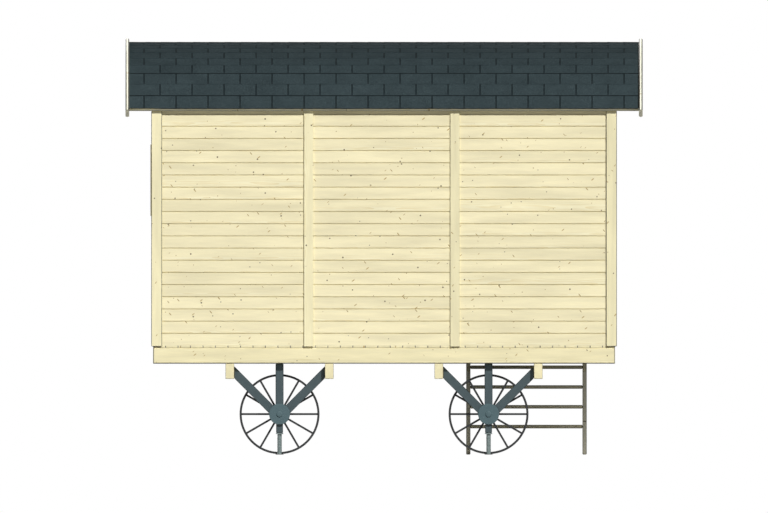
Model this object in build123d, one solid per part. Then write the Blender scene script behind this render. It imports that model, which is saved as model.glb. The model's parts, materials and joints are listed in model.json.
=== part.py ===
from build123d import *
import os
from math import acos, atan2, cos, radians, sin

# A gypsy wagon: a board cabin under a barrel roof, on a timber chassis that stands
# on four braced steel legs, each with a spoked wheel on a stub axle.
# Millimetres, +Z up, X along the wagon. The plain back wall faces -Y, the door and
# its steps are on the +Y side. The origin is on the ground, in the middle of the box
# round the whole wagon.

os.makedirs("parts", exist_ok=True)

# Cabin body
body_length = 4620.0
body_width = 2180.0
wall_thickness = 45.0
wall_height = 2368.0
left_panel_width = 1556.0
cover_batten_width = 92.0
corner_trim_width = 108.0
trim_thickness = 18.0
trim_lap = 9.0

# Chassis
frame_depth = 160.0
side_beam_width = 160.0
end_beam_width = 60.0
floor_joist_width = 60.0
floor_joist_spacing = 620.0
cross_beam_width = 87.0
cross_beam_depth = 152.0
cross_beam_offset = 497.0
floor_thickness = 21.0

# Roof: a three-centred arch, measured on the outside of the shingles
eave_overhang = 66.0
roof_rise = 664.0
crown_arc_angle = 28.0
eave_angle = 71.0
shingle_thickness = 8.0
roof_deck_thickness = 20.0
verge_overhang = 238.0
roof_seat_gap = 0.3
eave_board_height = 22.0
eave_board_setback = 31.0
roof_arch_depth = 95.0
roof_arch_width = 45.0
barge_board_thickness = 38.0
barge_board_depth = 140.0
barge_board_rise = 41.0
barge_outer_end_drop = 7.0
barge_inner_end_drop = 81.0

# Legs and feet
wheel_base = 2090.0
post_width = 80.0
leg_plate_diameter = 210.0
leg_plate_thickness = 20.0
post_tail = 55.0
sleeve_width = 69.0
sleeve_bottom_z = 217.0
sleeve_bore_depth = 110.0
brace_width = 86.0
brace_thickness = 60.0
brace_top_drop = 85.0
brace_meeting_drop = 36.0
foot_tube_diameter = 45.0
foot_stem_width = 45.0
foot_stem_gap = 0.3
foot_collar_width = 74.0
foot_collar_height = 12.0
foot_plate_width = 80.0
foot_plate_thickness = 6.0

# Wheels
wheel_diameter = 800.0
wheel_ground_gap = 5.0
wheel_frame_gap = 104.0
rim_thickness = 19.0
rim_width = 34.0
spoke_count = 12
spoke_width = 17.0
hub_barrel_diameter = 78.0
hub_barrel_length = 44.0
axle_diameter = 40.0
axle_clearance = 0.08
hub_gap = 6.0
axle_cap_diameter = 60.0
axle_cap_thickness = 9.0
axle_end_play = 0.5

# Steps
steps_end_inset = 283.0
steps_width = 1206.0
stringer_thickness = 43.0
stringer_margin = 30.0
stringer_foot_length = 95.0
step_count = 4
first_step_height = 298.0
step_going = 235.0
tread_depth = 250.0
tread_thickness = 36.0

# Door
door_opening_width = 1200.0
door_head_drop = 356.0
door_frame_width = 45.0
door_leaf_thickness = 35.0
door_stop_width = 12.0
door_leaf_gap = 3.0
door_stile_width = 95.0
door_panel_height = 850.0
door_panel_recess = 9.0
glass_thickness = 8.0
door_casing_width = 60.0
casing_batten_gap = 9.0

# Window in the left end wall
window_opening_width = 560.0
window_opening_height = 565.0
window_head_drop = 432.0
window_frame_width = 50.0
window_casing_width = 75.0
window_casing_thickness = 26.0

# Cuts run past the faces they open by this much
overrun = 20.0

# Heights and half sizes that several pieces share
half_length = body_length / 2
half_width = body_width / 2
wheel_centre_z = wheel_ground_gap + wheel_diameter / 2
frame_underside_z = wheel_ground_gap + wheel_diameter + wheel_frame_gap
frame_top_z = frame_underside_z + frame_depth
floor_z = frame_top_z + floor_thickness
inner_half_width = half_width - wall_thickness
inner_half_length = half_length - wall_thickness
trim_bottom_z = floor_z - trim_lap
eave_z = floor_z + wall_height
eave_board_bottom_z = eave_z - eave_board_height

# Steps and door share their middle, and the right panel joint stands beside the door casing
steps_left_x = half_length - steps_end_inset - steps_width
steps_middle_x = steps_left_x + steps_width / 2
door_low_x = steps_middle_x - door_opening_width / 2
door_high_x = steps_middle_x + door_opening_width / 2
door_head_z = eave_board_bottom_z - door_head_drop
left_panel_joint_x = left_panel_width - half_length
right_panel_joint_x = door_low_x - door_casing_width - casing_batten_gap - cover_batten_width / 2

# The steps' stringers lean on the chassis and stand on the ground
step_rise = (floor_z - first_step_height) / step_count
step_slope = step_rise / step_going
stringer_lower_z = floor_z - step_rise - tread_thickness - stringer_margin
stringer_upper_z = floor_z - step_rise + stringer_margin + step_slope * tread_depth
stringer_ground_y = half_width + stringer_lower_z / step_slope
steps_front_y = stringer_ground_y + stringer_foot_length

# Roof curve: the crown arc and the two haunch arcs meet on a common tangent
roof_length = body_length + 2 * verge_overhang
eave_board_width = eave_overhang - eave_board_setback
eave_half_span = half_width + eave_overhang
crown_sin = sin(radians(crown_arc_angle))
crown_cos = cos(radians(crown_arc_angle))
eave_sin = sin(radians(eave_angle))
eave_cos = cos(radians(eave_angle))
arch_factor = crown_sin * (crown_cos - eave_cos) - (1 - crown_cos) * (eave_sin - crown_sin)
crown_radius = (eave_half_span * (crown_cos - eave_cos) - roof_rise * (eave_sin - crown_sin)) / arch_factor
haunch_radius = (crown_sin * roof_rise - (1 - crown_cos) * eave_half_span) / arch_factor
crown_centre_z = eave_z + roof_rise - crown_radius
haunch_centre_y = (crown_radius - haunch_radius) * crown_sin
haunch_centre_z = crown_centre_z + (crown_radius - haunch_radius) * crown_cos
deck_underside = shingle_thickness + roof_deck_thickness
under_deck = deck_underside + roof_seat_gap

# Ends of the barge boards, on their outer and inner curves
barge_outer_radius = haunch_radius + barge_board_rise
barge_inner_radius = barge_outer_radius - barge_board_depth
barge_outer_end_z = eave_z - barge_outer_end_drop
barge_inner_end_z = eave_z - barge_inner_end_drop
barge_outer_angle = acos((barge_outer_end_z - haunch_centre_z) / barge_outer_radius)
barge_inner_angle = acos((barge_inner_end_z - haunch_centre_z) / barge_inner_radius)
barge_outer_end_y = haunch_centre_y + barge_outer_radius * sin(barge_outer_angle)
barge_inner_end_y = haunch_centre_y + barge_inner_radius * sin(barge_inner_angle)

# Legs stand under the side beams, and the wheels turn behind them, well inside the cross-beam ends
leg_y = half_width - side_beam_width + post_width / 2
post_face_y = leg_y + post_width / 2
leg_plate_face_y = post_face_y + leg_plate_thickness
wheel_y = leg_y - post_width / 2 - hub_gap - hub_barrel_length / 2
axle_end_y = wheel_y - hub_barrel_length / 2 - axle_end_play
leg_x = wheel_base / 2
post_bottom_z = wheel_centre_z - post_tail
brace_meeting_z = wheel_centre_z - brace_meeting_drop
brace_top_z = frame_underside_z - brace_top_drop

# Moves the wagon so that its box is centred on the origin
centre_shift_y = (barge_outer_end_y - steps_front_y) / 2


def block(x_low, x_high, y_low, y_high, z_low, z_high):
    size = (x_high - x_low, y_high - y_low, z_high - z_low)
    middle = ((x_low + x_high) / 2, (y_low + y_high) / 2, (z_low + z_high) / 2)
    return Pos(*middle) * Box(*size)


def between(sign, near, far):
    # The low and high end of a stretch, on the side that the sign gives
    return sorted((sign * near, sign * far))


def write(node, solids):
    shapes = [Pos(0, centre_shift_y, 0) * solid for solid in solids]
    export_step(shapes[0] if len(shapes) == 1 else Compound(children=shapes), f"parts/{node}.step")


def profile_along_x(outline, x_low, x_high):
    face = make_face(Polyline(*outline, close=True).edges())
    return Pos(x_low, 0, 0) * extrude(Plane.YZ * face, x_high - x_low)


def under_arch(depth, x_low, x_high):
    # Everything under the roof curve, at a depth below the outside of the shingles
    crown = crown_radius - depth
    haunch = haunch_radius - depth
    right_arc = CenterArc((haunch_centre_y, haunch_centre_z), haunch, 0, 90 - crown_arc_angle)
    crown_arc = CenterArc((0, crown_centre_z), crown, 90 - crown_arc_angle, 2 * crown_arc_angle)
    left_arc = CenterArc((-haunch_centre_y, haunch_centre_z), haunch,
                         90 + crown_arc_angle, 90 - crown_arc_angle)
    spring_y = haunch_centre_y + haunch
    sides = Polyline((-spring_y, haunch_centre_z), (-spring_y, 0), (spring_y, 0), (spring_y, haunch_centre_z))
    face = make_face([right_arc.edge(), crown_arc.edge(), left_arc.edge(), *sides.edges()])
    return Pos(x_low, 0, 0) * extrude(Plane.YZ * face, x_high - x_low)


def arch_band(outer_depth, inner_depth, x_low, x_high):
    core = under_arch(inner_depth, x_low - overrun, x_high + overrun)
    return under_arch(outer_depth, x_low, x_high) - core


def above(solid, z_low):
    box = solid.bounding_box()
    keep = block(box.min.X - overrun, box.max.X + overrun, box.min.Y - overrun, box.max.Y + overrun,
                 z_low, box.max.Z + overrun)
    return solid & keep


# Chassis

def side_beam(side):
    inner = half_width - side_beam_width
    return block(-half_length, half_length, *between(side, inner, half_width),
                 frame_underside_z, frame_top_z)


def end_beam(end):
    reach = half_width - side_beam_width
    inner = half_length - end_beam_width
    return block(*between(end, inner, half_length), -reach, reach, frame_underside_z, frame_top_z)


def floor_joist(side):
    reach = half_length - end_beam_width
    middle = side * floor_joist_spacing / 2
    return block(-reach, reach, middle - floor_joist_width / 2, middle + floor_joist_width / 2,
                 frame_underside_z, frame_top_z)


def cross_beam(middle_x):
    return block(middle_x - cross_beam_width / 2, middle_x + cross_beam_width / 2, -half_width, half_width,
                 frame_underside_z - cross_beam_depth, frame_underside_z)


cross_beam_places = [end * leg_x + way * cross_beam_offset for end in (-1, 1) for way in (-1, 1)]
write("frame_side_beams", [side_beam(-1), side_beam(1)])
write("frame_end_beams", [end_beam(-1), end_beam(1)])
write("floor_joists", [floor_joist(-1), floor_joist(1)])
write("cross_beams", [cross_beam(middle_x) for middle_x in cross_beam_places])
write("floor_boards", [block(-half_length, half_length, -half_width, half_width, frame_top_z, floor_z)])


# Walls, cut to the underside of the roof deck

def side_wall(side, x_low, x_high):
    slab = block(x_low, x_high, *between(side, inner_half_width, half_width), floor_z, eave_z + roof_rise)
    return slab & under_arch(under_deck, x_low, x_high)


def end_wall(end):
    x_low, x_high = between(end, inner_half_length, half_length)
    slab = block(x_low, x_high, -inner_half_width, inner_half_width, floor_z, eave_z + roof_rise)
    return slab & under_arch(under_deck, x_low, x_high)


doorway = block(door_low_x, door_high_x, inner_half_width - overrun, half_width + overrun,
                floor_z - overrun, door_head_z)
window_high_z = eave_z - window_head_drop
window_low_z = window_high_z - window_opening_height
window_half = window_opening_width / 2
window_hole = block(-half_length - overrun, -inner_half_length + overrun, -window_half, window_half,
                    window_low_z, window_high_z)

panel_edges = (
    ("left", -half_length, left_panel_joint_x),
    ("middle", left_panel_joint_x, right_panel_joint_x),
    ("right", right_panel_joint_x, half_length),
)
for name, x_low, x_high in panel_edges:
    write(f"back_wall_{name}", [side_wall(-1, x_low, x_high)])
    write(f"front_wall_{name}", [side_wall(1, x_low, x_high) - doorway])
write("left_end_wall", [end_wall(-1) - window_hole])
write("right_end_wall", [end_wall(1)])


# Corner trims and the battens that cover the panel joints

def corner_trim(end, side):
    outer_x = half_length + trim_thickness
    outer_y = half_width + trim_thickness
    long_board = block(*between(end, outer_x - corner_trim_width, outer_x),
                       *between(side, half_width, outer_y), trim_bottom_z, eave_board_bottom_z)
    end_board = block(*between(end, half_length, outer_x),
                      *between(side, outer_y - corner_trim_width, half_width),
                      trim_bottom_z, eave_board_bottom_z)
    return long_board + end_board


def cover_batten(side, middle_x):
    return block(middle_x - cover_batten_width / 2, middle_x + cover_batten_width / 2,
                 *between(side, half_width, half_width + trim_thickness),
                 trim_bottom_z, eave_board_bottom_z)


panel_joints = (left_panel_joint_x, right_panel_joint_x)
write("corner_trims_back", [corner_trim(end, -1) for end in (-1, 1)])
write("corner_trims_front", [corner_trim(end, 1) for end in (-1, 1)])
write("cover_battens", [cover_batten(side, x) for side in (-1, 1) for x in panel_joints])


# Roof

def eave_board(side):
    return block(-roof_length / 2, roof_length / 2,
                 *between(side, half_width, half_width + eave_board_width), eave_board_bottom_z, eave_z)


def roof_arch(middle_x):
    x_low = middle_x - roof_arch_width / 2
    x_high = middle_x + roof_arch_width / 2
    band = arch_band(under_deck, deck_underside + roof_arch_depth, x_low, x_high)
    span = block(x_low, x_high, -inner_half_width, inner_half_width, haunch_centre_z, eave_z + roof_rise)
    return band & span


def barge_board(end):
    x_low, x_high = between(end, roof_length / 2, roof_length / 2 + barge_board_thickness)
    board = arch_band(-barge_board_rise, barge_board_depth - barge_board_rise, x_low, x_high)
    # The ends are cut off along a line from the outer curve down to the inner one
    slope = (barge_outer_end_z - barge_inner_end_z) / (barge_outer_end_y - barge_inner_end_y)
    far_y = barge_outer_end_y + barge_board_depth
    far_z = barge_outer_end_z + slope * barge_board_depth
    middle_z = barge_inner_end_z - slope * barge_inner_end_y
    below = [(-far_y, far_z), (0, middle_z), (far_y, far_z), (far_y, -overrun), (-far_y, -overrun)]
    return board - profile_along_x(below, x_low - overrun, x_high + overrun)


write("eave_boards", [eave_board(-1), eave_board(1)])
write("roof_arches", [roof_arch(x) for x in panel_joints])
deck_band = arch_band(shingle_thickness, deck_underside, -roof_length / 2, roof_length / 2)
shingle_band = arch_band(0, shingle_thickness, -roof_length / 2, roof_length / 2)
write("roof_deck", [above(deck_band, eave_z)])
write("roof_shingles", [above(shingle_band, eave_z)])
write("barge_board_left", [barge_board(-1)])
write("barge_board_right", [barge_board(1)])


# Legs, feet, wheels and axle caps, made at their own place on the back or front side

def along_y(radius, y_low, y_high, x, z):
    return Pos(x, (y_low + y_high) / 2, z) * Rot(90, 0, 0) * Cylinder(radius, y_high - y_low)


def upright(radius, x, y, z_low, z_high):
    return Pos(x, y, (z_low + z_high) / 2) * Cylinder(radius, z_high - z_low)


def brace(end_x, middle_x):
    # A sloping bar from the post to the face of a cross-beam, with upright cuts at both ends
    angle = atan2(brace_top_z - brace_meeting_z, abs(end_x - middle_x))
    half_cut = brace_width / 2 / cos(angle)
    outline = [(middle_x, brace_meeting_z - half_cut), (end_x, brace_top_z - half_cut),
               (end_x, brace_top_z + half_cut), (middle_x, brace_meeting_z + half_cut)]
    face = make_face(Polyline(*outline, close=True).edges())
    return extrude(Plane.XZ * face, brace_thickness / 2, both=True)


def leg(end, side):
    x = end * leg_x
    y = side * leg_y
    half_post = post_width / 2
    half_sleeve = sleeve_width / 2
    post = block(x - half_post, x + half_post, y - half_post, y + half_post,
                 post_bottom_z, frame_underside_z)
    sleeve = block(x - half_sleeve, x + half_sleeve, y - half_sleeve, y + half_sleeve,
                   sleeve_bottom_z, post_bottom_z)
    brace_reach = cross_beam_offset - cross_beam_width / 2
    braces = [Pos(0, y, 0) * brace(x + way * brace_reach, x) for way in (-1, 1)]
    # A round plate covers the joint of post and braces outside, and the axle reaches inwards behind it
    plate = along_y(leg_plate_diameter / 2, *between(side, post_face_y, leg_plate_face_y), x, wheel_centre_z)
    axle = along_y(axle_diameter / 2, *between(side, axle_end_y, leg_y), x, wheel_centre_z)
    # The sleeve is a box section, open below for the foot's square stem
    half_bore = foot_stem_width / 2 + foot_stem_gap
    bore = block(x - half_bore, x + half_bore, y - half_bore, y + half_bore,
                 sleeve_bottom_z - overrun, sleeve_bottom_z + sleeve_bore_depth)
    return post + braces[0] + braces[1] + sleeve + plate + axle - bore


def foot(end, side):
    x = end * leg_x
    y = side * leg_y
    half_plate = foot_plate_width / 2
    plate = block(x - half_plate, x + half_plate, y - half_plate, y + half_plate, 0, foot_plate_thickness)
    # A round tube up to the collar, and above it a square stem that slides in the sleeve
    collar_middle_z = sleeve_bottom_z - foot_collar_height / 2
    tube = upright(foot_tube_diameter / 2, x, y, 0, collar_middle_z)
    half_stem = foot_stem_width / 2
    stem = block(x - half_stem, x + half_stem, y - half_stem, y + half_stem,
                 collar_middle_z, sleeve_bottom_z + sleeve_bore_depth)
    half_collar = foot_collar_width / 2
    collar = block(x - half_collar, x + half_collar, y - half_collar, y + half_collar,
                   sleeve_bottom_z - foot_collar_height, sleeve_bottom_z)
    return plate + tube + collar + stem


def wheel(end, side):
    rim_inner = wheel_diameter / 2 - rim_thickness
    rim = Cylinder(wheel_diameter / 2, rim_width) - Cylinder(rim_inner, rim_width + overrun)
    barrel = Cylinder(hub_barrel_diameter / 2, hub_barrel_length)
    spoke_inner = (axle_diameter + hub_barrel_diameter) / 4      # the spokes run into the barrel's wall
    spoke_outer = wheel_diameter / 2 - rim_thickness / 2
    half_spoke = spoke_width / 2
    spoke = block(spoke_inner, spoke_outer, -half_spoke, half_spoke, -half_spoke, half_spoke)
    spokes = [Rot(0, 0, 360 / spoke_count * number) * spoke for number in range(spoke_count)]
    bore = Cylinder(axle_diameter / 2 + axle_clearance, hub_barrel_length + overrun)
    turned = (rim + barrel + spokes) - bore
    return Pos(end * leg_x, side * wheel_y, wheel_centre_z) * Rot(90, 0, 0) * turned


def axle_ends(end, side):
    # A round cap on the plate outside, and a square washer that keeps the wheel on its axle
    x = end * leg_x
    half_washer = axle_cap_diameter / 2
    cap_span = between(side, leg_plate_face_y, leg_plate_face_y + axle_cap_thickness)
    cap = along_y(axle_cap_diameter / 2, *cap_span, x, wheel_centre_z)
    washer = block(x - half_washer, x + half_washer, *between(side, axle_end_y - axle_cap_thickness, axle_end_y),
                   wheel_centre_z - half_washer, wheel_centre_z + half_washer)
    return [cap, washer]


corners = [(f"{side_name}_{end_name}", end, side)
           for side_name, side in (("back", -1), ("front", 1))
           for end_name, end in (("left", -1), ("right", 1))]
for name, end, side in corners:
    write(f"leg_{name}", [leg(end, side)])
    write(f"wheel_{name}", [wheel(end, side)])
write("leg_feet", [foot(end, side) for name, end, side in corners])
write("axle_caps", [piece for name, end, side in corners for piece in axle_ends(end, side)])


# Steps

def stringer(x_low):
    # A sloping board, cut level on the ground and at the chassis top, and upright at both ends
    upper_cut_y = half_width + (stringer_upper_z - frame_top_z) / step_slope
    toe_z = stringer_upper_z - step_slope * (steps_front_y - half_width)
    outline = [(half_width, stringer_lower_z), (half_width, frame_top_z), (upper_cut_y, frame_top_z),
               (steps_front_y, toe_z), (steps_front_y, 0), (stringer_ground_y, 0)]
    return profile_along_x(outline, x_low, x_low + stringer_thickness)


def tread(number):
    back_y = half_width + (number - 1) * step_going
    top_z = floor_z - number * step_rise
    return block(steps_left_x + stringer_thickness, steps_left_x + steps_width - stringer_thickness,
                 back_y, back_y + tread_depth, top_z - tread_thickness, top_z)


write("step_stringers", [stringer(steps_left_x), stringer(steps_left_x + steps_width - stringer_thickness)])
for number in range(1, step_count + 1):
    write(f"step_tread_{step_count + 1 - number}", [tread(number)])


# Door: a frame in the opening, two half-glazed leaves and the casing outside

def ring_in_wall(low, high, border, depth_low, depth_high, along_x):
    # A rectangular frame of one border width; along_x says whether it lies in the long wall
    (low_u, low_z), (high_u, high_z) = low, high
    if along_x:
        outer = block(low_u, high_u, depth_low, depth_high, low_z, high_z)
        hole = block(low_u + border, high_u - border, depth_low - overrun, depth_high + overrun,
                     low_z + border, high_z - border)
    else:
        outer = block(depth_low, depth_high, low_u, high_u, low_z, high_z)
        hole = block(depth_low - overrun, depth_high + overrun, low_u + border, high_u - border,
                     low_z + border, high_z - border)
    return outer - hole


leaf_low_y = half_width - door_leaf_thickness
door_frame_low = (door_low_x, floor_z)
door_frame_high = (door_high_x, door_head_z)
door_frame = ring_in_wall(door_frame_low, door_frame_high, door_frame_width,
                          inner_half_width, half_width, True)
door_stop = ring_in_wall(door_frame_low, door_frame_high, door_frame_width + door_stop_width,
                         inner_half_width, leaf_low_y, True)
leaf_low_z = floor_z + door_frame_width + door_leaf_gap
leaf_high_z = door_head_z - door_frame_width - door_leaf_gap
leaf_width = (door_opening_width - 2 * door_frame_width - 3 * door_leaf_gap) / 2
pane_low_z = leaf_low_z + door_panel_height


def door_leaf(x_low):
    # Stiles and rails, open for the pane above and set back on both faces at the panel below
    slab = block(x_low, x_low + leaf_width, leaf_low_y, half_width, leaf_low_z, leaf_high_z)
    clear_low_x = x_low + door_stile_width
    clear_high_x = x_low + leaf_width - door_stile_width
    hole = block(clear_low_x, clear_high_x, leaf_low_y - overrun, half_width + overrun,
                 pane_low_z, leaf_high_z - door_stile_width)
    panel_low_z = leaf_low_z + door_stile_width
    panel_high_z = pane_low_z - door_stile_width
    inner_recess = block(clear_low_x, clear_high_x, leaf_low_y - overrun, leaf_low_y + door_panel_recess,
                         panel_low_z, panel_high_z)
    outer_recess = block(clear_low_x, clear_high_x, half_width - door_panel_recess, half_width + overrun,
                         panel_low_z, panel_high_z)
    return slab - hole - inner_recess - outer_recess


def door_pane(x_low):
    middle_y = half_width - door_leaf_thickness / 2
    return block(x_low + door_stile_width, x_low + leaf_width - door_stile_width,
                 middle_y - glass_thickness / 2, middle_y + glass_thickness / 2,
                 pane_low_z, leaf_high_z - door_stile_width)


leaf_left_x = door_low_x + door_frame_width + door_leaf_gap
leaf_right_x = leaf_left_x + leaf_width + door_leaf_gap
casing_outer = block(door_low_x - door_casing_width, door_high_x + door_casing_width,
                     half_width, half_width + trim_thickness, floor_z, door_head_z + door_casing_width)
casing_hole = block(door_low_x, door_high_x, half_width - overrun, half_width + trim_thickness + overrun,
                    floor_z - overrun, door_head_z)
write("door_frame", [door_frame + door_stop])
write("door_leaf_left", [door_leaf(leaf_left_x)])
write("door_leaf_right", [door_leaf(leaf_right_x)])
write("door_glass", [door_pane(leaf_left_x), door_pane(leaf_right_x)])
write("door_casing", [casing_outer - casing_hole])


# Window in the left end wall

window_low = (-window_half, window_low_z)
window_high = (window_half, window_high_z)
window_frame = ring_in_wall(window_low, window_high, window_frame_width,
                            -half_length, -inner_half_length, False)
window_middle_x = -half_length + wall_thickness / 2
window_glass = block(window_middle_x - glass_thickness / 2, window_middle_x + glass_thickness / 2,
                     -window_half + window_frame_width, window_half - window_frame_width,
                     window_low_z + window_frame_width, window_high_z - window_frame_width)
window_casing = ring_in_wall((-window_half - window_casing_width, window_low_z - window_casing_width),
                             (window_half + window_casing_width, window_high_z + window_casing_width),
                             window_casing_width, -half_length - window_casing_thickness, -half_length, False)
write("window_frame", [window_frame])
write("window_glass", [window_glass])
write("window_casing", [window_casing])
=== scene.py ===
from functools import partial
import json
import math
import bpy
import numpy as np
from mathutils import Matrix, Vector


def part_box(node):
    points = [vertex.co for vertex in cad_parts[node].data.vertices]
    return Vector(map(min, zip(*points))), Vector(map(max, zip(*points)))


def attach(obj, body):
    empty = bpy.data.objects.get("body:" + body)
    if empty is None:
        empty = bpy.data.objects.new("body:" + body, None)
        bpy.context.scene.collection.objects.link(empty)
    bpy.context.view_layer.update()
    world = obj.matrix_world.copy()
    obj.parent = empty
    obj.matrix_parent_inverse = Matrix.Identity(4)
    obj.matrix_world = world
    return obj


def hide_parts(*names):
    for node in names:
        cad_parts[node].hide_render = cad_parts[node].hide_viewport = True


# Gypsy wagon: spruce board cabin under a shingled barrel roof, on steel legs with spoked wheels.
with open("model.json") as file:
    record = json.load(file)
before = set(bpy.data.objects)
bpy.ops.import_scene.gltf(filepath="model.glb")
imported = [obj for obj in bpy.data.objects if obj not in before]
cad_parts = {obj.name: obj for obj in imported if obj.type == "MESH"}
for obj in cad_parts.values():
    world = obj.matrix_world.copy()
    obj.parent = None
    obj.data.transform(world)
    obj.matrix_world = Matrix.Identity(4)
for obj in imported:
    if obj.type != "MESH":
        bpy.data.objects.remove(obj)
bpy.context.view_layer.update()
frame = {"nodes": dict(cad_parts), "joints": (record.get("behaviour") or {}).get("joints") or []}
mm = 0.001
farOff = 99.0       # metres, beyond everything
dice = np.random.default_rng(41)
print("frame loaded:", len(frame["nodes"]), "nodes")


# colours are written as sRGB hex and turned to linear light here
def toLinear(hexColour):
    channels = np.array([int(hexColour[i:i + 2], 16) for i in (1, 3, 5)]) / 255
    linear = np.where(channels <= 0.04045, channels / 12.92, ((channels + 0.055) / 1.055) ** 2.4)
    return (*map(float, linear), 1.0)


# fills a node's inputs: a value is set, a socket is linked, a node is linked by its first output in use
def fillInputs(node, inputs):
    for name, value in inputs.items():
        if isinstance(value, bpy.types.Node):
            value = next(output for output in value.outputs if output.enabled)
        if isinstance(value, bpy.types.NodeSocket):
            node.id_data.links.new(value, node.inputs[name])
        else:
            node.inputs[name].default_value = value


# adds one node to a tree with its settings and inputs; stops are the places and colours of a ramp
def addNode(tree, kind, inputs=None, stops=(), **settings):
    node = tree.nodes.new("ShaderNode" + kind)
    for name, value in settings.items():
        setattr(node, name, value)
    for number, (place, colour) in enumerate(stops):
        marks = node.color_ramp.elements
        mark = marks[number] if number < len(marks) else marks.new(place)
        mark.position, mark.color = place, toLinear(colour)
    fillInputs(node, inputs or {})
    return node


# a new material, its shader, and addNode for its tree
def newMaterial(name):
    material = bpy.data.materials.new(name)
    material.use_nodes = True
    tree = material.node_tree
    return material, tree.nodes["Principled BSDF"], partial(addNode, tree)


# one mesh object from arrays: groups of faces with equal corner counts, and named values of the points
# (of the faces, for arris); it rides on a body and takes the place of a node
def addPiece(name, points, faceGroups, material, node, attributes=None, body="wagon"):
    mesh = bpy.data.meshes.new(name)
    groups = [np.asarray(group, dtype=np.int32) for group in faceGroups]
    counts = np.concatenate([np.full(len(group), group.shape[1], np.int32) for group in groups])
    corners = np.concatenate([group.ravel() for group in groups])
    mesh.vertices.add(len(points))
    mesh.vertices.foreach_set("co", np.asarray(points, dtype=np.float32).ravel())
    mesh.loops.add(len(corners))
    mesh.loops.foreach_set("vertex_index", corners)
    mesh.polygons.add(len(counts))
    mesh.polygons.foreach_set("loop_start", (np.cumsum(counts) - counts).astype(np.int32))
    mesh.polygons.foreach_set("loop_total", counts)
    mesh.polygons.foreach_set("use_smooth", np.zeros(len(counts), bool))
    for label, values in (attributes or {}).items():
        values = np.asarray(values, dtype=np.float32)
        kind = "FLOAT" if values.ndim == 1 else "FLOAT_VECTOR"
        layer = mesh.attributes.new(label, kind, "FACE" if label == "arris" else "POINT")
        layer.data.foreach_set("value" if values.ndim == 1 else "vector", values.ravel())
    mesh.update()
    mesh.validate()
    mesh.materials.append(material)
    piece = bpy.data.objects.new(name, mesh)
    bpy.context.scene.collection.objects.link(piece)
    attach(piece, body)
    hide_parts(node)


# a shape's arrays: points, groups of faces, places in the log, tones, and the painted arris shade of each
# face
def makeShape(points, faces, grain=None, tone=0.5, arris=None):
    return {"points": points, "faces": faces, "tone": np.full(len(points), tone),
            "grain": np.zeros((len(points), 3)) if grain is None else grain,
            "arris": [np.zeros(len(group)) for group in faces] if arris is None else arris}


# several shapes joined into one piece, quads before other faces, with the attributes that its material reads
def addShapes(name, shapes, material, node, wanted=(), body="wagon"):
    starts = np.cumsum([0] + [len(shape["points"]) for shape in shapes])
    faces = [(group + start, arris) for shape, start in zip(shapes, starts)
             for group, arris in zip(shape["faces"], shape["arris"])]
    faces.sort(key=lambda pair: pair[0].shape[1] != 4)
    groups, dust = zip(*faces)
    joined = {label: np.concatenate(dust if label == "arris" else [shape[label] for shape in shapes])
              for label in ("points", *wanted)}
    addPiece(name, joined.pop("points"), groups, material, node, joined, body)


# shapes joined into one wooden piece, with grain, tone and painted shade on the arrises
def addWood(name, shapes, material, node):
    addShapes(name, shapes, material, node, ("grain", "tone", "arris"))


# each plank gets its own place in the log, so no two show the same grain: metres along the log, out from
# its heart and off to the side; and a tone from 0 to 1
def plankLook():
    place = np.array([dice.uniform(-40, 40), dice.uniform(0.02, 0.11), dice.uniform(-0.06, 0.06)])
    return place, float(dice.uniform(0, 1))


cornerSigns = np.array([(x, y, z) for x in (-1, 1) for y in (-1, 1) for z in (-1, 1)])


# faces of a box whose corners are split into three points, one on each side: sides and edge strips as quads,
# corners as triangles; a quad's kind is 0, 1 or 2 for a strip that looks down, sideways or up, 3 for a side
def boxFaces():
    def point(face, signs):
        return 3 * sum(4 >> axis for axis in range(3) if signs[axis] > 0) + face

    quads, kinds = [], []
    for axis in range(3):
        u, v = (axis + 1) % 3, (axis + 2) % 3
        for side in (-1, 1):
            around = ((-1, -1), (1, -1), (1, 1), (-1, 1))
            quads.append([point(axis, {axis: side, u: su, v: sv}) for su, sv in around][::side])
            kinds.append(3)
        for su, sv in ((-1, -1), (-1, 1), (1, -1), (1, 1)):
            around = ((u, -1), (u, 1), (v, 1), (v, -1))
            quads.append([point(face, {axis: side, u: su, v: sv}) for face, side in around][::-su * sv])
            kinds.append(1 + {u: su, v: sv}.get(2, 0))
    triangles = [[point(face, signs) for face in range(3)][::math.prod(signs)]
                 for signs in cornerSigns.tolist()]
    return np.array(quads), np.array(triangles), np.array(kinds)


boxQuads, boxCorners, boxKinds = boxFaces()


# a box with chamfered edges: each of a corner's three points is set in from the other two sides by the
# chamfer (one length, or one along each axis); the painted shade is for chamfers that look down, sideways,
# up
def plank(low, high, lengthAxis, chamfer, look=None, dust=(1, 0.7, 0)):
    low, high = np.array(low, float), np.array(high, float)
    half = (high - low) / 2
    reach = np.where(np.eye(3, dtype=bool), half, half - chamfer)
    local = (cornerSigns[:, None] * reach).reshape(-1, 3)
    place, tone = look or plankLook()
    others = sorted({0, 1, 2} - {lengthAxis}, key=lambda axis: (-round(half[axis], 4), -axis))
    arris = [np.array([*dust, 0])[boxKinds], np.full(len(boxCorners), dust[1])]
    return makeShape(local + (low + high) / 2, [boxQuads, boxCorners],
                     local[:, [lengthAxis, *others]] + place, tone, arris)


# the two bars of a width that lie along the two ends of a box
def endPair(low, high, axis, width):
    first, last = np.array(high, float), np.array(low, float)
    first[axis], last[axis] = low[axis] + width, high[axis] - width
    return (low, first), (last, high)


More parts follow.
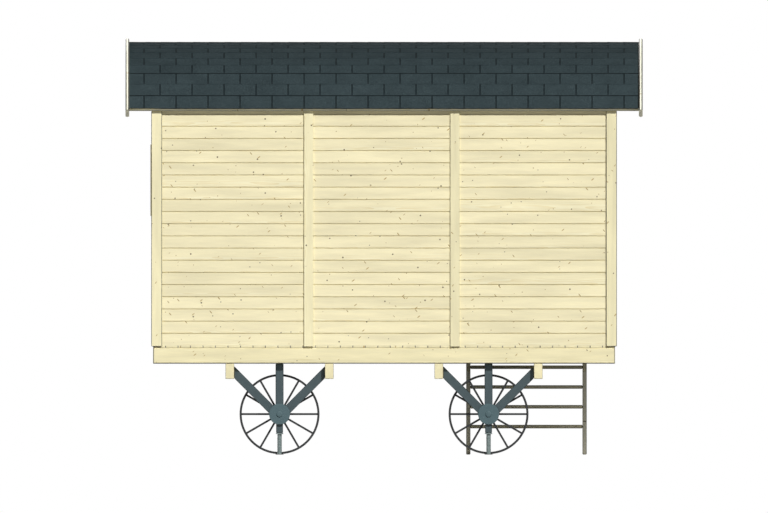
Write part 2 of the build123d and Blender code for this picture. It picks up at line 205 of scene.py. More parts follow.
# faces of a closed tube: quads from each ring of points to the next, and a cap on the first and the last
def tubeFaces(rings, count):
    ring, here = np.meshgrid(np.arange(rings - 1), np.arange(count), indexing="ij")
    start, after, ends = ring * count, (here + 1) % count, np.arange(count)
    quads = np.stack([start + here, start + after, start + count + after, start + count + here], 2)
    return [quads.reshape(-1, 4), np.stack([ends[::-1], (rings - 1) * count + ends])]


# a flat board of any convex outline (u, v) between two depths; near both faces the outline's v is held off
# the two joints by half a groove, and at the faces by a bevel more: a match board's shadow line
def outlineBoard(outline, depths, depthAxis, joints, bevel, look=None, groove=(0, 0), lengthwise=False):
    outline = np.array(outline, float)
    (near, far), (held, deep) = depths, groove

    def holdOff(amount):
        line = outline.copy()
        line[:, 1] = np.clip(outline[:, 1], joints[0] + amount, joints[1] - amount)
        return line

    rings = [(holdOff(held + bevel), near), (holdOff(held), near + bevel)]
    if deep:
        rings += [(holdOff(held), near + deep), (outline, near + deep),
                  (outline, far - deep), (holdOff(held), far - deep)]
    rings += [(holdOff(held), far - bevel), (holdOff(held + bevel), far)]
    u, v = [axis for axis in range(3) if axis != depthAxis]
    points = np.zeros((len(rings), len(outline), 3))
    points[:, :, [u, v]] = [line for line, depth in rings]
    points[:, :, depthAxis] = [[depth] for line, depth in rings]
    points = points.reshape(-1, 3)
    faces = tubeFaces(len(rings), len(outline))
    if depthAxis == 1:                      # X and Z turn the other way about Y
        faces = [group[:, ::-1] for group in faces]
    place, tone = look or plankLook()
    order = [depthAxis, u, v] if lengthwise else [u, v, depthAxis]
    middle = np.array([0, *[points[:, axis].mean() for axis in order[1:]]])
    return makeShape(points, faces, points[:, order] - middle + place, tone)


# a profile of (radius, height) points turned about an axis, with one flat face on each end
def turned(profile, centre, axis, steps):
    profile = np.array(profile, float)
    angle = np.arange(steps) * 2 * np.pi / steps
    u, v = (axis + 1) % 3, (axis + 2) % 3
    points = np.zeros((len(profile), steps, 3))
    points[:, :, u] = centre[u] + profile[:, :1] * np.cos(angle)
    points[:, :, v] = centre[v] + profile[:, :1] * np.sin(angle)
    points[:, :, axis] = centre[axis] + profile[:, 1:]
    return makeShape(points.reshape(-1, 3), tubeFaces(len(profile), steps))


# a ring: a closed profile of (radius, depth) points turned about Y
def turnedRing(profile, centre, steps):
    shape = turned([*profile, profile[0]], centre, 1, steps)
    count = len(profile) * steps
    return makeShape(shape["points"][:count], [shape["faces"][0] % count])


# a closed section of (x, lift) points carried along the roof curve; each point's angle is t from -1 to 1
# times the end angle at its lift; every other side of a section of eight is a chamfer with painted shade
def archSweep(section, endAngle, steps):
    x, lift = np.array(section, float).T
    t = np.linspace(-1, 1, steps)[:, None]
    y, z = roofPoint(t * endAngle(lift), lift)
    quads, caps = (group[:, ::-1] for group in tubeFaces(steps, len(x)))
    place, tone = plankLook()
    log = [np.broadcast_to(part, y.shape) for part in (t * halfArc, lift - lift.mean(), x - x.mean())]
    points = np.stack([np.broadcast_to(x, y.shape), y, z], 2).reshape(-1, 3)
    chamfered = np.arange(len(x)) % 2 if len(x) == 8 else np.zeros(len(x))
    return makeShape(points, [np.roll(quads, 1, 1), caps], np.stack(log, 2).reshape(-1, 3) + place, tone,
                     [np.tile(chamfered, steps - 1), np.zeros(2)])


# slabs from grids of upper and lower points (slab, row, column): sides closed round the edge
def slabs(upper, lower, flip):
    count, rows, columns = upper.shape[:3]
    size = rows * columns
    number = np.arange(size).reshape(rows, columns)
    top = np.stack([number[:-1, :-1], number[1:, :-1], number[1:, 1:], number[:-1, 1:]], 2).reshape(-1, 4)
    loop = np.concatenate([number[0], number[1:, -1], number[-1, -2::-1], number[-2:0:-1, 0]])
    after = np.roll(loop, -1)
    rim = np.stack([loop, after, after + size, loop + size], 1)
    quads = np.concatenate([top, top[:, ::-1] + size, rim])
    quads = quads[None] + 2 * size * np.arange(count)[:, None, None]
    quads = np.where(np.asarray(flip)[:, None, None], quads[:, :, ::-1], quads).reshape(-1, 4)
    points = np.concatenate([upper.reshape(count, size, 3), lower.reshape(count, size, 3)], 1)
    return points.reshape(-1, 3), quads


# a rectangle with cut corners, as a section
def cutCorners(low, high, cut):
    (a, b), (c, d) = low, high
    return [(a + cut, b), (c - cut, b), (c, b + cut), (c, d - cut),
            (c - cut, d), (a + cut, d), (a, d - cut), (a, b + cut)]


print("tools ready")

# Materials
usualNoise = {"From Min": 0.3, "From Max": 0.7}     # a noise mostly keeps to this range

# noises: stretch in waves per metre along and across the board, and detail
wood = {"noises": (((0.9, 9, 9), 3.0), ((12, 420, 420), 2.0), ((1.6, 14, 14), 2.0)), "waver": 50 * mm,
        "lateWood": 2.2, "toneRange": (0.94, 1.021), "patchRange": (0.9, 1.06), "fibreRange": (0.96, 1.03),
        "roughness": (0.5, 0.72), "relief": 0.6 * mm, "smallestKnot": 0.4, "knotEdge": (-0.02, 0.025)}

# knot kinds: turn, cells per metre along and across, share of empty cells, reach within a cell, colour
knotKinds = ((0.0, (10, 10, 1), 0.9, 0.08, "#4a3920"),
             (0.0, (13, 13, 1), 0.93, 0.07, "#a8905c"),
             (0.9, (30, 9, 1), 0.965, 0.17, "#b7a06a"),
             (-0.7, (34, 9, 1), 0.97, 0.17, "#a68f58"))


# the two inputs that say what range a value is mapped to
def toRange(low, high):
    return {"To Min": low, "To Max": high}


# planed spruce: pale cream, faint straw-brown rings along the board, a few small brown knots, satin, and
# painted shade on the arrises
def spruce(name, pale, ring, ringWidth=7 * mm, ringStrength=0.55, arrisShadeColour="#615c4c"):
    material, shader, add = newMaterial(name)
    grain = add("Attribute", attribute_name="grain").outputs["Vector"]
    tone, arris = [add("Attribute", attribute_name=label).outputs["Fac"] for label in ("tone", "arris")]
    # the waver is slow along the board, so that the rings run as long flames
    stretched = [add("Mapping", {"Vector": grain, "Scale": scale}) for scale, detail in wood["noises"]]
    waver, fibre, patch = [add("TexNoise", {"Vector": place, "Scale": 1.0, "Detail": detail})
                           for place, (scale, detail) in zip(stretched, wood["noises"])]
    parts = add("SeparateXYZ", {"Vector": grain})
    squares = [add("Math", {0: parts.outputs[axis], 1: 2.0}, operation="POWER") for axis in "YZ"]
    summed = add("Math", {0: squares[0], 1: squares[1]}, operation="ADD")
    radius = add("Math", {0: summed}, operation="SQRT")
    wavering = add("Math", {0: waver, 1: wood["waver"], 2: radius}, operation="MULTIPLY_ADD")
    turns = add("Math", {0: wavering, 1: 1 / ringWidth}, operation="MULTIPLY")
    part = add("Math", {0: turns}, operation="FRACT")
    # late wood darkens slowly across a ring and stops sharply
    late = add("Math", {0: part, 1: wood["lateWood"]}, operation="POWER")
    body = add("Mix", {"Factor": late, "A": toLinear(pale), "B": toLinear(ring)}, data_type="RGBA")
    soft = add("Mix", {"Factor": ringStrength, "A": toLinear(pale), "B": body}, data_type="RGBA")
    toned = add("MapRange", {"Value": tone, **toRange(*wood["toneRange"])}, clamp=False)
    patched = add("MapRange", {"Value": patch, **usualNoise, **toRange(*wood["patchRange"])})
    fibred = add("MapRange", {"Value": fibre, **usualNoise, **toRange(*wood["fibreRange"])})
    level = add("Math", {0: toned, 1: patched}, operation="MULTIPLY")
    level = add("Math", {0: level, 1: fibred}, operation="MULTIPLY")
    knotted = add("Mix", {"Factor": 1.0, "A": soft, "B": level}, data_type="RGBA", blend_type="MULTIPLY")
    # knots: a few cells of a flat Voronoi hold a round spot of 7 to 17 mm, or the slanting dash of a twig
    for turn, scale, share, reach, colour in knotKinds:
        placed = add("Mapping", {"Vector": grain, "Rotation": (0, 0, turn)})
        placed = add("Mapping", {"Vector": placed, "Scale": scale})
        knot = add("TexVoronoi", {"Vector": placed, "Scale": 1.0}, voronoi_dimensions="2D")
        pick = add("SeparateColor", {"Color": knot.outputs["Color"]})
        empty = add("Math", {0: share, 1: pick}, operation="GREATER_THAN")
        size = add("MapRange", {"Value": pick, "From Min": share, "From Max": 1.0,
                                **toRange(reach * wood["smallestKnot"], reach)})
        inside = add("Math", {0: size, 1: knot.outputs["Distance"]}, operation="SUBTRACT")
        inside = add("Math", {0: inside, 1: empty}, operation="SUBTRACT")
        edgeLow, edgeHigh = wood["knotEdge"]
        spot = add("MapRange", {"Value": inside, "From Min": edgeLow, "From Max": edgeHigh})
        knotted = add("Mix", {"Factor": spot, "A": knotted, "B": toLinear(colour)}, data_type="RGBA")
    # painted shade: the arrises darken towards a grey
    dustAndShade = add("Mix", {"Factor": arris, "A": knotted, "B": toLinear(arrisShadeColour)}, data_type="RGBA")
    rough = add("MapRange", {"Value": fibre, **toRange(*wood["roughness"])})
    bump = add("Bump", {"Height": fibre, "Strength": 0.25, "Distance": wood["relief"]})
    fillInputs(shader, {"Base Color": dustAndShade, "Roughness": rough, "Normal": bump})
    return material


wallSpruce = spruce("spruceWallBoards", "#f4ecc6", "#e0cc94", ringStrength=0.6)
trimSpruce = spruce("sprucePlanedTrim", "#f2eac2", "#decf98", ringWidth=6 * mm)
beamSpruce = spruce("spruceChassisBeams", "#f1e8bf", "#dccb90", ringWidth=8 * mm)
# the barge boards, eave boards and steps take a darker painted shade on their arrises
edgeSpruce = spruce("sprucePaleBargeBoards", "#f6f4e0", "#e4e0c6", ringWidth=6 * mm, arrisShadeColour="#45433a")
stepSpruce = spruce("spruceSteps", "#f4f0d8", "#e0dab8", arrisShadeColour="#55523f")


# bitumen shingles with crushed slate: near-black blue-green grey, speckled, no gloss
def bitumenShingles():
    material, shader, add = newMaterial("bitumenShinglesSlateGrit")
    tone, edge = [add("Attribute", attribute_name=label).outputs["Fac"] for label in ("tone", "edge")]
    place = add("TexCoord").outputs["Object"]
    # grit of 1.5 mm is drawn at 5 mm, so that it still shows from across a garden
    grit = add("TexNoise", {"Vector": place, "Scale": 1 / (5 * mm), "Detail": 2.0})
    cloud = add("TexNoise", {"Vector": place, "Scale": 1 / (180 * mm), "Detail": 4.0})
    speckle = add("ValToRGB", {"Fac": grit}, ((0.3, "#273134"), (0.52, "#333e41"), (0.75, "#4a5658")))
    # the tone carries random tone and painted light: shade towards the crown, on the underlay and caps, a
    # highlight on the cut edges
    level = add("MapRange", {"Value": tone, **toRange(0.94, 1.05)}, clamp=False)
    cloudy = add("MapRange", {"Value": cloud, **usualNoise, **toRange(0.9, 1.1)})
    # painted shade: the cut lower edge is darkened in a line of 9 mm
    line = add("MapRange", {"Value": edge, "From Min": 4 * mm, "From Max": 9 * mm, **toRange(0.3, 1.0)})
    both = add("Math", {0: level, 1: cloudy}, operation="MULTIPLY")
    both = add("Math", {0: both, 1: line}, operation="MULTIPLY")
    lit = add("Mix", {"Factor": 1.0, "A": speckle, "B": both}, data_type="RGBA", blend_type="MULTIPLY")
    bump = add("Bump", {"Height": grit, "Strength": 0.5, "Distance": 1.2 * mm})
    fillInputs(shader, {"Base Color": lit, "Roughness": 0.92, "Specular IOR Level": 0.02, "Normal": bump})
    return material


# brush-painted steel: satin enamel, cloudy with thin dust, and painted shade darkening the arrises
def paintedSteel(name, colour, dustAndShade, rough):
    material, shader, add = newMaterial(name)
    arris = add("Attribute", attribute_name="arris").outputs["Fac"]
    place = add("TexCoord").outputs["Object"]
    cloud = add("TexNoise", {"Vector": place, "Scale": 1 / (60 * mm), "Detail": 5.0})
    fine = add("TexNoise", {"Vector": place, "Scale": 1 / (4 * mm), "Detail": 2.0})
    mixed = add("MapRange", {"Value": cloud, "From Min": 0.35, "From Max": 0.75})
    paint = add("Mix", {"Factor": mixed, "A": toLinear(colour), "B": toLinear(dustAndShade)}, data_type="RGBA")
    # painted shade: the arrises darken towards a near-black blue-grey
    edged = add("Mix", {"Factor": arris, "A": paint, "B": toLinear("#182123")}, data_type="RGBA")
    gloss = add("MapRange", {"Value": cloud, **toRange(rough - 0.08, rough + 0.12)})
    bump = add("Bump", {"Height": fine, "Strength": 0.12, "Distance": 0.4 * mm})
    fillInputs(shader, {"Base Color": edged, "Roughness": gloss, "Normal": bump})
    return material


# hot-dip zinc on tube: mid grey metal with crystals a finger wide, dull
def galvanisedTube():
    material, shader, add = newMaterial("galvanisedSteelTube")
    place = add("TexCoord").outputs["Object"]
    crystal = add("TexVoronoi", {"Vector": place, "Scale": 1 / (14 * mm)})
    pick = add("SeparateColor", {"Color": crystal.outputs["Color"]})
    zinc = add("ValToRGB", {"Fac": pick}, ((0.0, "#64716f"), (1.0, "#7e8a89")))
    gloss = add("MapRange", {"Value": pick.outputs["Green"], **toRange(0.42, 0.6)})
    fillInputs(shader, {"Base Color": zinc, "Metallic": 0.55, "Roughness": gloss})
    return material


# float glass: clear, a breath of green, sharp reflections a little dulled by a thin film of dust
def floatGlass():
    material, shader, add = newMaterial("floatGlassClear")
    place = add("TexCoord").outputs["Object"]
    film = add("TexNoise", {"Vector": place, "Scale": 1 / (90 * mm), "Detail": 4.0})
    tint = add("ValToRGB", {"Fac": film}, ((0.3, "#e6efec"), (0.7, "#d9e4e1")))
    smear = add("MapRange", {"Value": film, **toRange(0.01, 0.05)})
    fillInputs(shader, {"Base Color": tint, "Roughness": smear, "IOR": 1.5, "Transmission Weight": 1.0})
    return material


shingleGrit = bitumenShingles()
legPaint = paintedSteel("steelLegsBlueGreyEnamel", "#324145", "#3a494d", 0.6)
hubPaint = paintedSteel("steelHubsBlueGreyEnamel", "#40565b", "#475d62", 0.6)
wheelPaint = paintedSteel("steelWheelsDarkEnamel", "#0a0d0e", "#141819", 0.65)
zincTube = galvanisedTube()
clearGlass = floatGlass()
print("materials ready")


# the two corners of a node's box
def boxOf(node):
    return [np.array(corner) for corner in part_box(node)]


# Places taken from the CAD frame
bodyLow, bodyHigh = boxOf("floor_boards")
bodyY = (bodyLow[1] + bodyHigh[1]) / 2
halfWidth = (bodyHigh[1] - bodyLow[1]) / 2
floorZ = bodyHigh[2]
eaveLow, eaveHigh = boxOf("eave_boards")
eaveZ = eaveHigh[2]
wallLow, wallHigh = boxOf("back_wall_middle")
innerHalf = halfWidth - (wallHigh[1] - wallLow[1])
roofLow, roofHigh = boxOf("roof_shingles")
deckLow, deckHigh = boxOf("roof_deck")
shingleThickness = roofHigh[2] - deckHigh[2]

# roof curve: crown arc and two haunch arcs on common tangents, outside of the shingles
roofCurve = {"crownAngle": 28.0, "eaveAngle": 71.0, "deckThickness": 20 * mm, "seatGap": 0.3 * mm}
span, rise = (roofHigh[1] - roofLow[1]) / 2, roofHigh[2] - eaveZ
crownAngle, eaveAngle = math.radians(roofCurve["crownAngle"]), math.radians(roofCurve["eaveAngle"])
crownSin, crownCos = math.sin(crownAngle), math.cos(crownAngle)
eaveSin, eaveCos = math.sin(eaveAngle), math.cos(eaveAngle)
factor = crownSin * (crownCos - eaveCos) - (1 - crownCos) * (eaveSin - crownSin)
crownRadius = (span * (crownCos - eaveCos) - rise * (eaveSin - crownSin)) / factor
haunchRadius = (crownSin * rise - (1 - crownCos) * span) / factor
crownCentre = roofHigh[2] - crownRadius
haunchY = (crownRadius - haunchRadius) * crownSin
haunchZ = crownCentre + (crownRadius - haunchRadius) * crownCos
crownArc = crownRadius * crownAngle
halfArc = crownArc + haunchRadius * math.radians(roofCurve["eaveAngle"] - roofCurve["crownAngle"])
deckUnder = -(shingleThickness + roofCurve["deckThickness"])
deckSeat = deckUnder - roofCurve["seatGap"]         # what stands under the deck stays just clear of it


# a point of the roof curve: angle from the upright picks the arc, lift moves it along its radius
def roofPoint(angle, lift):
    steep = np.abs(angle)
    onCrown = steep <= crownAngle
    radius = np.where(onCrown, crownRadius, haunchRadius) + lift
    y = np.sign(angle) * (np.where(onCrown, 0, haunchY) + radius * np.sin(steep))
    z = np.where(onCrown, crownCentre, haunchZ) + radius * np.cos(steep)
    return y + bodyY, z


# the angle at a walked distance from the crown: distance over radius, arc by arc
def roofAngle(walked):
    far = np.abs(walked)
    return np.sign(walked) * np.where(far <= crownArc, far / crownRadius,
                                      crownAngle + (far - crownArc) / haunchRadius)


# the other leg of a right triangle, and zero where the first leg is too long
def otherLeg(radius, leg):
    return np.sqrt(np.maximum(radius ** 2 - leg ** 2, 0))


# height of a surface at some lift from the roof curve, over a place y from the middle
def roofHeight(y, lift):
    y = np.abs(np.asarray(y, float))
    flat = crownCentre + otherLeg(crownRadius + lift, y)
    steep = haunchZ + otherLeg(haunchRadius + lift, np.maximum(y - haunchY, 0))
    return np.where(y <= (crownRadius + lift) * crownSin, flat, steep)


# half width inside a surface at some lift from the roof curve, at a height
def roofHalfWidth(z, lift):
    z = np.asarray(z, float)
    flat = otherLeg(crownRadius + lift, z - crownCentre)
    steep = haunchY + otherLeg(haunchRadius + lift, np.maximum(z - haunchZ, 0))
    return np.where(z >= crownCentre + (crownRadius + lift) * crownCos, flat, steep)


print("roof curve:", round(crownRadius, 3), round(haunchRadius, 3), "half arc", round(halfArc, 3))

# Walls: horizontal match boards, V-jointed on both faces
wallBoards = {"pitch": 121.8 * mm, "bevel": 2 * mm, "groove": (3 * mm, 10 * mm), "topBevel": 0.5 * mm,
              "curvePoints": 5}


# heights of the joints: whole pitches from the floor, up to the first at or over the top
def boardJoints(top):
    count = int(np.ceil((top - floorZ) / wallBoards["pitch"]))
    return floorZ + wallBoards["pitch"] * np.arange(count + 1)


# one wall's boards: every row between two joints, less the openings (uLow, uHigh, vLow, vHigh);
# reach gives the half width of the wall at a height
def wallShapes(uLow, uHigh, top, openings, depths, depthAxis, reach=None):
    shapes = []
    joints = boardJoints(top)
    for low, high in zip(joints[:-1], joints[1:]):
        cutHigh = min(high, top)
        held = (low if low > joints[0] else -farOff, high if cutHigh == high else farOff)
        look = plankLook()
        levels = sorted({low, cutHigh, *[z for hole in openings for z in hole[2:] if low < z < cutHigh]})
        for bottom, upper in zip(levels[:-1], levels[1:]):
            inside = [hole for hole in openings if hole[2] < (bottom + upper) / 2 < hole[3]]
            stops = [uLow, *[u for hole in inside for u in hole[:2]], uHigh]
            heights = np.linspace(bottom, upper, wallBoards["curvePoints"] if reach else 2)
            limit = reach(heights) if reach else np.full(len(heights), farOff)
            for left, right in zip(stops[::2], stops[1::2]):
                rightLine = np.stack([np.minimum(right, bodyY + limit), heights], 1)
                leftLine = np.stack([np.maximum(left, bodyY - limit), heights], 1)
                line = np.concatenate([rightLine, leftLine[::-1]])
                shapes.append(outlineBoard(line, depths, depthAxis, held, wallBoards["bevel"], look,
                                           wallBoards["groove"]))
    return shapes


# the top board of a long wall, cut to the curve of the deck: outline in (y, z), carried along X
def wallTop(low, ends, side):
    y = np.linspace(halfWidth, innerHalf, wallBoards["curvePoints"])
    line = np.concatenate([[(innerHalf, low), (halfWidth, low)], np.stack([y, roofHeight(y, deckSeat)], 1)])
    line[:, 0] = bodyY + side * line[:, 0]
    return outlineBoard(line[::side], ends, 0, (-farOff, farOff), wallBoards["topBevel"], lengthwise=True)


# half width of an end wall at a height: it stands between the long walls and under the deck
def endWallReach(z):
    return np.minimum(innerHalf, roofHalfWidth(z, deckSeat))


doorLow, doorHigh = boxOf("door_frame")
windowLow, windowHigh = boxOf("window_frame")
holes = {"front_wall_right": [(doorLow[0], doorHigh[0], -farOff, doorHigh[2])],
         "left_end_wall": [(windowLow[1], windowHigh[1], windowLow[2], windowHigh[2])]}
topJoint = boardJoints(eaveZ)[-2]
for sideName, side in (("back", -1), ("front", 1)):
    for panel in ("left", "middle", "right"):
        node = f"{sideName}_wall_{panel}"
        low, high = boxOf(node)
        shapes = wallShapes(low[0], high[0], topJoint, holes.get(node, []), (low[1], high[1]), 1)
        shapes.append(wallTop(topJoint, (low[0], high[0]), side))
        addWood(f"{sideName}WallBoards.{panel}", shapes, wallSpruce, node)
for end in ("left", "right"):
    node = f"{end}_end_wall"
    low, high = boxOf(node)
    shapes = wallShapes(low[1], high[1], high[2], holes.get(node, []), (low[0], high[0]), 0, endWallReach)
    addWood(f"endWallBoards.{end}", shapes, wallSpruce, node)
print("walls boarded")

# Chassis beams, floor boards, trims: planks at the places of their nodes
chassis = {"chamfer": 4 * mm, "sideChamfer": 10 * mm, "sideWidth": 160 * mm, "endWidth": 60 * mm,
           "joistWidth": 60 * mm, "crossWidth": 87 * mm, "crossSpacing": 994 * mm}
for name, node, axis, width, chamfer in (
        ("sideBeams", "frame_side_beams", 1, chassis["sideWidth"], chassis["sideChamfer"]),
        ("endBeams", "frame_end_beams", 0, chassis["endWidth"], chassis["chamfer"]),
        ("floorJoists", "floor_joists", 1, chassis["joistWidth"], chassis["chamfer"])):
    shapes = [plank(a, b, 1 - axis, chamfer) for a, b in endPair(*boxOf(node), axis, width)]
    addWood(name, shapes, beamSpruce, node)
low, high = boxOf("cross_beams")
width, spacing = chassis["crossWidth"], chassis["crossSpacing"]
shapes = [plank((x, low[1], low[2]), (x + width, high[1], high[2]), 1, chassis["chamfer"])
          for x in (low[0], low[0] + spacing, high[0] - width - spacing, high[0] - width)]
addWood("crossBeams", shapes, beamSpruce, "cross_beams")

floorBoards = {"pitch": 123.5 * mm, "chamfer": (4 * mm, 4 * mm, 0.5 * mm), "gap": 0.6 * mm}
count = int(round((bodyHigh[0] - bodyLow[0]) / floorBoards["pitch"]))
edges = np.linspace(bodyLow[0], bodyHigh[0], count + 1)
gap = floorBoards["gap"] / 2
shapes = [plank((a + gap, *bodyLow[1:]), (b - gap, *bodyHigh[1:]), 1, floorBoards["chamfer"], dust=(0, 1, 0))
          for a, b in zip(edges[:-1], edges[1:])]
addWood("floorBoards", shapes, beamSpruce, "floor_boards")

trims = {"chamfer": 1 * mm, "cornerChamfer": 6 * mm, "eaveChamfer": 3 * mm, "thickness": 18 * mm,
         "cornerWidth": 108 * mm, "battenWidth": 92 * mm, "eaveWidth": 35 * mm}
for sideName, side in (("back", -1), ("front", 1)):
    node = f"corner_trims_{sideName}"
    low, high = boxOf(node)
    outerY = low[1] if side < 0 else high[1]
    wallY = outerY - side * trims["thickness"]
    innerY = wallY - side * (trims["cornerWidth"] - trims["thickness"])
    shapes = []
    for end, x in ((-1, low[0]), (1, high[0])):
        # the plank on the long wall covers the edge of the one on the end wall
        for width, ys in ((trims["cornerWidth"], (outerY, wallY)), (trims["thickness"], (wallY, innerY))):
            xs, ys = sorted((x, x - end * width)), sorted(ys)
            shapes.append(plank((xs[0], ys[0], low[2]), (xs[1], ys[1], high[2]), 2, trims["cornerChamfer"],
                                dust=(1, 1, 0)))
    addWood(f"cornerTrims.{sideName}", shapes, trimSpruce, node)
shapes = [plank(a, b, 2, trims["chamfer"])
          for column in endPair(*boxOf("cover_battens"), 0, trims["battenWidth"])
          for a, b in endPair(*column, 1, trims["thickness"])]
addWood("coverBattens", shapes, trimSpruce, "cover_battens")
shapes = [plank(a, b, 0, trims["eaveChamfer"]) for a, b in endPair(eaveLow, eaveHigh, 1, trims["eaveWidth"])]
addWood("eaveBoards", shapes, edgeSpruce, "eave_boards")
print("chassis and trims planked")

# Roof: boarded deck, shingle courses, inner arches, barge boards
deck = {"boards": 27, "chamfer": 3 * mm, "endBevel": 0.5 * mm}
edges = np.linspace(-halfArc, halfArc, deck["boards"] + 1)
cut, under, over = deck["chamfer"], deckUnder, -shingleThickness
lift = np.array([under, under, under + cut, over, over, over, over, over, under + cut])
shapes = []
for low, high in zip(edges[:-1], edges[1:]):
    walked = np.array([low + cut, high - cut, high, high, high - cut, (low + high) / 2, low + cut, low, low])
    y, z = roofPoint(roofAngle(walked), lift)
    line = np.stack([y, np.maximum(z, eaveZ)], 1)
    shapes.append(outlineBoard(line, (deckLow[0], deckHigh[0]), 0, (-farOff, farOff), deck["endBevel"],
                               lengthwise=True))
addWood("roofDeckBoards", shapes, trimSpruce, "roof_deck")

# the lined courses take a painted shade line at their cut edge; the crown's painted shade darkens the upper
# courses; the edge's tone is a painted highlight
shingles = {"pitch": 320 * mm, "slot": 10 * mm, "tabs": 20, "smallest": 20 * mm, "courses": 10,
            "thickness": 3.7 * mm, "lap": 30 * mm, "lapShade": 6 * mm, "rows": 6, "edge": 2 * mm,
            "edgeTone": 3.5, "lined": (0, 1, 3), "faintEdge": 8.6 * mm, "tone": (0.3, 0.9), "crownTone": 3.6}
clearOfEdgeShade = 0.1      # metres from the cut edge, well outside its painted shade line
pitch, slot, rows = shingles["pitch"], shingles["slot"], shingles["rows"]
courses, crownTone = shingles["courses"], shingles["crownTone"]
exposure = halfArc / courses
upperPoints, lowerPoints, flips, tones, edgeNear = [], [], [], [], []
for side in (-1, 1):
    for course in range(courses):
        start = (course % 2) * pitch / 2 - pitch * (shingles["tabs"] - 1) / 2
        lefts = start + pitch * np.arange(shingles["tabs"])
        lows = np.maximum(lefts + slot / 2, roofLow[0])
        highs = np.minimum(lefts + pitch - slot / 2, roofHigh[0])
        keep = highs - lows > shingles["smallest"]
        lows, highs = lows[keep], highs[keep]
        bottom = halfArc - course * exposure
        reach = min(exposure + shingles["lap"], bottom)
        lapStart = min(exposure + shingles["lapShade"], reach - 1 * mm)
        middles = np.linspace(shingles["edge"], lapStart, rows - 2)
        share = np.concatenate([[0], middles, [reach]]) / reach
        walked = bottom - share * reach
        lift = -share * (shingleThickness - shingles["thickness"])
        for drop, store in ((0, upperPoints), (shingles["thickness"], lowerPoints)):
            y, z = roofPoint(side * roofAngle(walked), lift - drop)
            grid = np.zeros((len(lows), rows, 2, 3))
            grid[..., 0, 0], grid[..., 1, 0] = lows[:, None], highs[:, None]
            grid[..., 1], grid[..., 2] = y[None, :, None], np.maximum(z, eaveZ)[None, :, None]
            store.append(grid)
        flips.append(np.full(len(lows), side < 0))
        height = course / courses
        paintedCrownShade = crownTone * height + crownTone * height ** 2
        tones.append(dice.uniform(*shingles["tone"], len(lows)) - paintedCrownShade)    # painted shade: darker towards the crown
        # painted shade: the lined courses darken at their cut edge; the others hold the line off it
        edge = (bottom - walked) + (0 if course in shingles["lined"] else shingles["faintEdge"])
        edge[-2:] = 0       # painted shade: the lap takes the cut edge's dark line, so the slots show dark down to the next course
        edgeNear.append(np.broadcast_to(edge[None, :, None], (len(lows), rows, 2)))
points, quads = slabs(np.concatenate(upperPoints), np.concatenate(lowerPoints), np.concatenate(flips))
perFace = rows * 2
edge = np.concatenate(edgeNear).reshape(-1, perFace)
tone = np.repeat(np.concatenate(tones)[:, None], perFace, 1)
tone[:, :2] = shingles["edgeTone"]      # painted highlight: the cut lower edges are set light, outside the crown's painted shade
attributes = {"tone": np.tile(tone, 2).ravel(), "edge": np.tile(edge, 2).ravel()}
addPiece("shingleTabs", points, [quads], shingleGrit, "roof_shingles", attributes)

# underlay strip seen in the slots, painted near-black as the slots' shade, and the caps that fold over the
# crown
underlay = {"thickness": 2 * mm, "tone": -7.2, "steps": 81}
under, over = -shingleThickness, underlay["thickness"] - shingleThickness
section = [(roofLow[0], under), (roofHigh[0], under), (roofHigh[0], over), (roofLow[0], over)]
shape = archSweep(section, lambda lift: np.full(len(lift), eaveAngle), underlay["steps"])
points = shape["points"]
points[:, 2] = np.maximum(points[:, 2], eaveZ)
# painted shade: the underlay takes a near-black tone
attributes = {"tone": np.full(len(points), underlay["tone"]), "edge": np.full(len(points), clearOfEdgeShade)}
addPiece("shingleUnderlay", points, shape["faces"], shingleGrit, "roof_shingles",
         attributes)
# the caps' tone is painted shade, as dark as the courses by the crown
caps = {"length": 160 * mm, "half": 105 * mm, "thickness": 11 * mm, "lap": 8 * mm,
        "lifts": (5 * mm, 3.8 * mm), "rows": 5, "tone": (-5.6, -5.2)}
count = int(round((roofHigh[0] - roofLow[0]) / caps["length"]))
xs = np.linspace(roofLow[0], roofHigh[0], count + 1)
walked = np.linspace(caps["half"], -caps["half"], caps["rows"])
upper = np.zeros((count, caps["rows"], 2, 3))
upper[..., 0, 0], upper[..., 1, 0] = xs[:-1, None], np.minimum(xs[1:, None] + caps["lap"], roofHigh[0])
lower = upper.copy()
for store, drop in ((upper, 0), (lower, -caps["thickness"])):
    for column, lift in enumerate(caps["lifts"]):
        store[:, :, column, 1], store[:, :, column, 2] = roofPoint(roofAngle(walked), lift + drop)
points, quads = slabs(upper, lower, np.zeros(count, bool))
edge = np.full((2 * count, caps["rows"], 2), clearOfEdgeShade)
# painted shade: dark lines along both long edges of each cap
edge[:, [0, -1]] = 0
attributes = {"tone": np.repeat(dice.uniform(*caps["tone"], count), caps["rows"] * 4), "edge": edge.ravel()}
addPiece("ridgeCaps", points, [quads], shingleGrit, "roof_shingles", attributes)

arch = {"width": 95 * mm, "depth": 45 * mm, "chamfer": 3 * mm, "steps": 49}
archLow, archHigh = boxOf("roof_arches")


# end angle of an inner arch: where its lift meets the inside of the long walls
def archEnd(lift):
    return np.arcsin((innerHalf - haunchY) / (haunchRadius + lift))


shapes = []
for x in (archLow[0], archHigh[0] - arch["width"]):
    section = cutCorners((x, deckUnder - arch["depth"]), (x + arch["width"], deckSeat), arch["chamfer"])
    shapes.append(archSweep(section, archEnd, arch["steps"]))
addWood("roofArches", shapes, trimSpruce, "roof_arches")

barge = {"rise": 41 * mm, "depth": 140 * mm, "outerDrop": 7 * mm, "innerDrop": 81 * mm, "chamfer": 12 * mm,
         "steps": 81}
bargeFoot = barge["rise"] - barge["depth"]


